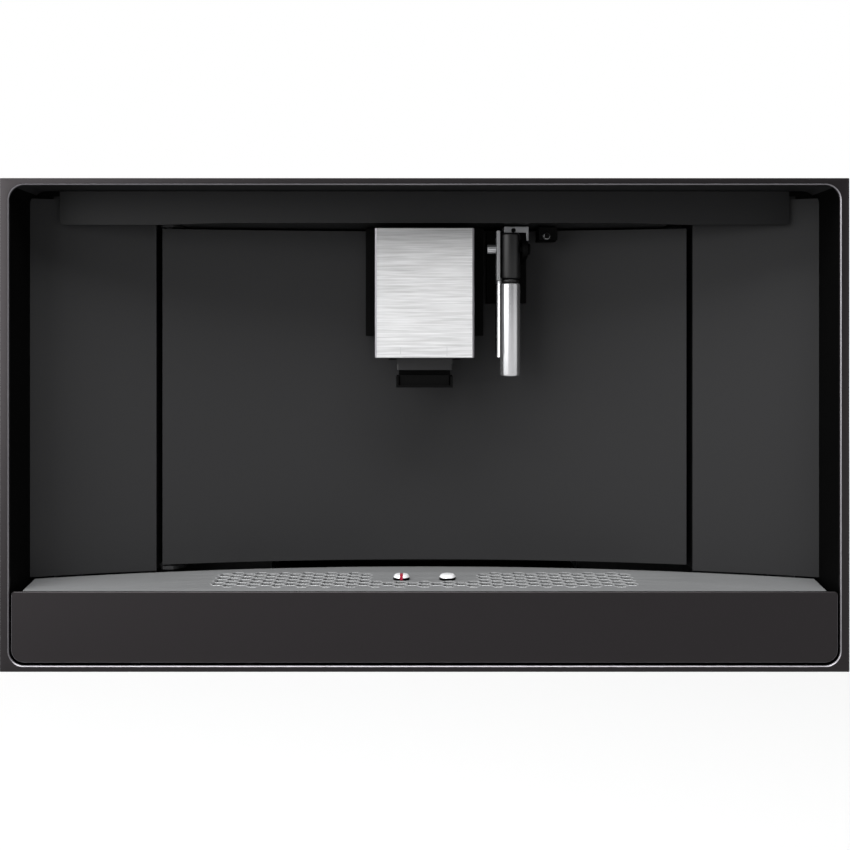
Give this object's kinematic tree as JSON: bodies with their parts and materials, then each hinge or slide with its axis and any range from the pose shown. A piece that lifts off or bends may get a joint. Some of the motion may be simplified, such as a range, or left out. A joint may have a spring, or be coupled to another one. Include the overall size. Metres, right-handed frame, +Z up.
{
  "type": "built-in coffee machine",
  "caption": "Built-in coffee machine: wide niche in a thin frame, curved service door with a sliding spout and a tilting nozzle, pull-out drip tray with a honeycomb plate.",
  "frame": {"origin": "middle of the footprint, at the level that the machine stands on", "axes": "+X to the right seen from the front, +Y into the machine, +Z up; the front plane is at the lowest Y"},
  "size_m": [0.596, 0.47, 0.3464],
  "materials": {
    "frame_black": "black lacquered steel with a soft gloss",
    "satin_black": "satin black lacquer on sheet metal",
    "moulded_black": "moulded black plastic",
    "brushed_steel": "stainless steel brushed across",
    "tray_steel": "grey blasted stainless steel",
    "bright_steel": "turned bright steel",
    "chrome": "polished chrome",
    "zinc_sheet": "zinc-plated sheet steel",
    "rubber": "moulded black rubber",
    "clear_plastic": "smoked clear plastic",
    "cast_aluminium": "cast aluminium",
    "circuit_board": "green circuit board",
    "red_plastic": "moulded red plastic"
  },
  "bodies": {
    "chassis": {"front_frame": "frame_black", "niche_liner": "moulded_black", "side_panel_left": "satin_black", "side_panel_right": "satin_black", "hood_panel": "satin_black", "casing_wrap": "zinc_sheet", "base_pan": "zinc_sheet", "rear_panel": "zinc_sheet", "power_inlet": "moulded_black", "foot_front_left": "rubber", "foot_front_right": "rubber", "foot_rear_left": "rubber", "foot_rear_right": "rubber", "hinge_bracket_top": "satin_black", "hinge_bracket_bottom": "satin_black", "inner_bulkhead": "satin_black", "door_magnet": "moulded_black", "service_bay": "moulded_black", "water_tank": "clear_plastic", "tank_lid": "moulded_black", "grounds_container": "moulded_black", "bean_container": "clear_plastic", "bean_lid": "moulded_black", "grinder_housing": "cast_aluminium", "grinder_motor": "zinc_sheet", "brew_frame": "moulded_black", "brew_cylinder": "cast_aluminium", "brew_motor": "zinc_sheet", "pump": "zinc_sheet", "pump_cradle": "rubber", "thermoblock": "cast_aluminium", "control_board": "circuit_board", "runner_left": "moulded_black", "runner_right": "moulded_black"},
    "door": {"door_panel": "satin_black", "door_liner": "moulded_black", "strike_plate": "zinc_sheet", "spout_guide": "moulded_black", "nozzle_mount": "moulded_black", "nozzle_bracket": "bright_steel", "nozzle_pin": "bright_steel", "nozzle_knob": "bright_steel", "connector_block": "moulded_black"},
    "spout": {"spout_front": "brushed_steel", "spout_housing": "moulded_black", "outlet_block": "moulded_black"},
    "nozzle": {"nozzle_grip": "moulded_black", "nozzle_ring": "moulded_black", "nozzle_sleeve": "chrome", "nozzle_air_tube": "bright_steel"},
    "tray": {"tray_fascia": "frame_black", "drip_basin": "moulded_black", "drip_grate": "tray_steel", "float_bezel": "chrome", "drain_stud": "chrome"},
    "float": {"tray_float": "red_plastic"},
    "burr": {"grinder_burr": "bright_steel"},
    "spindle": {"brew_spindle": "bright_steel"},
    "piston": {"brew_piston": "moulded_black"}
  },
  "joints": [
    {"name": "door_hinge", "type": "hinge", "parent": "chassis", "child": "door", "pos_m": [-0.196, -0.16, 0.0612], "axis": [0, 0, -1], "range_deg": [0, 100]},
    {"name": "spout_slide", "type": "slide", "parent": "door", "child": "spout", "axis": [0, 0, -1], "range_m": [0, 0.06]},
    {"name": "nozzle_tilt", "type": "hinge", "parent": "door", "child": "nozzle", "pos_m": [0.0635, -0.189, 0.3002], "axis": [-1, 0, 0], "range_deg": [0, 30]},
    {"name": "tray_slide", "type": "slide", "parent": "chassis", "child": "tray", "axis": [0, -1, 0], "range_m": [0, 0.15]},
    {"name": "float_rise", "type": "slide", "parent": "tray", "child": "float", "axis": [0, 0, 1], "range_m": [0, 0.0034]},
    {"name": "burr_spin", "type": "hinge", "parent": "chassis", "child": "burr", "pos_m": [0.1135, -0.045, 0.141], "axis": [0, 0, 1], "continuous": true},
    {"name": "spindle_turn", "type": "hinge", "parent": "chassis", "child": "spindle", "pos_m": [-0.031, -0.03, 0.204], "axis": [0, 0, 1], "range_deg": [-90, 1890]},
    {"name": "piston_slide", "type": "slide", "parent": "chassis", "child": "piston", "axis": [0, 0, -1], "range_m": [0, 0.045]}
  ],
  "couplings": [
    {"joint": "spindle_turn", "follows": "piston_slide", "rad_per_m": 698.13}
  ]
}
